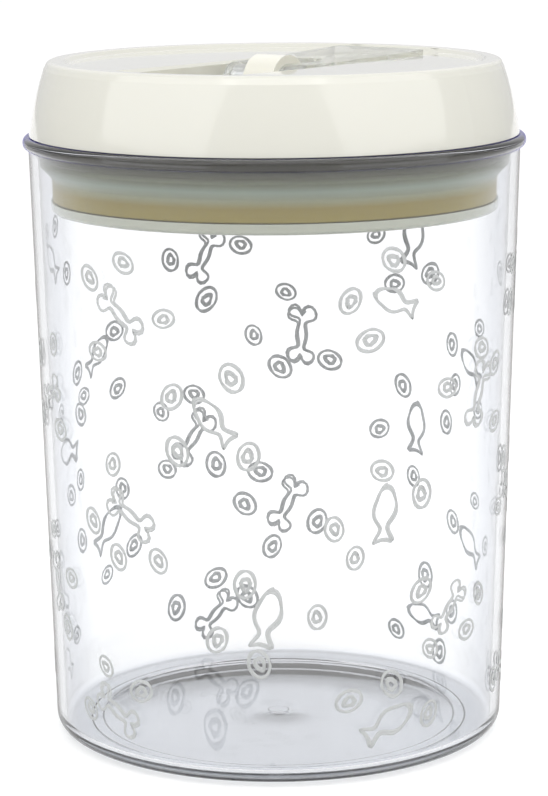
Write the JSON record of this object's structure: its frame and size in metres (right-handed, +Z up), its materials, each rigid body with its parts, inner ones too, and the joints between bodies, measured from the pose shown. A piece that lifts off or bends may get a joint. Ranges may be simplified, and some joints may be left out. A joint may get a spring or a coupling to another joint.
{
  "type": "food storage canister",
  "caption": "Clear round pet food storage jar with a glossy off-white airtight lid, whose clear flip lever draws up a plate and squeezes a silicone seal.",
  "frame": {"origin": "centre of the foot ring's resting plane, under the jar", "axes": "+Z up through the lid; the hinge pin runs along X and the locked lever points to +Y"},
  "size_m": [0.142, 0.142, 0.1942],
  "materials": {
    "clear_plastic": "clear moulded plastic, polished",
    "lid_gloss": "glossy off-white moulded plastic",
    "pad_acetal": "satin natural acetal",
    "carrier_plastic": "satin off-white moulded plastic",
    "steel": "stainless steel",
    "silicone": "translucent grey-green silicone",
    "plate_plastic": "satin off-white moulded plastic",
    "clear_lever": "clear acrylic, polished"
  },
  "bodies": {
    "jar": {"jar_body": "clear_plastic"},
    "lid": {"lid_cover": "lid_gloss", "cam_pads": "pad_acetal", "seal_carrier": "carrier_plastic", "carrier_screws": "steel", "gasket": "silicone"},
    "plate": {"pressure_plate": "plate_plastic", "pull_stem": "lid_gloss", "pivot_pin": "steel", "plate_screw": "steel", "plate_washer": "steel", "screw_plug": "plate_plastic", "return_spring": "steel"},
    "lever": {"flip_lever": "clear_lever"}
  },
  "joints": [
    {"name": "lid_lift", "type": "slide", "parent": "jar", "child": "lid", "axis": [0, 0, 1], "range_m": [0, 0.12]},
    {"name": "plate_draw", "type": "slide", "parent": "lid", "child": "plate", "axis": [0, 0, 1], "range_m": [-0.0024, 0], "deforming": ["gasket", "return_spring"]},
    {"name": "lever_flip", "type": "hinge", "parent": "plate", "child": "lever", "pos_m": [0, 0, 0.1867], "axis": [1, 0, 0], "range_deg": [0, 180]}
  ],
  "couplings": [
    {"joint": "plate_draw", "follows": "lever_flip", "m_per_rad": -0.0007639}
  ]
}
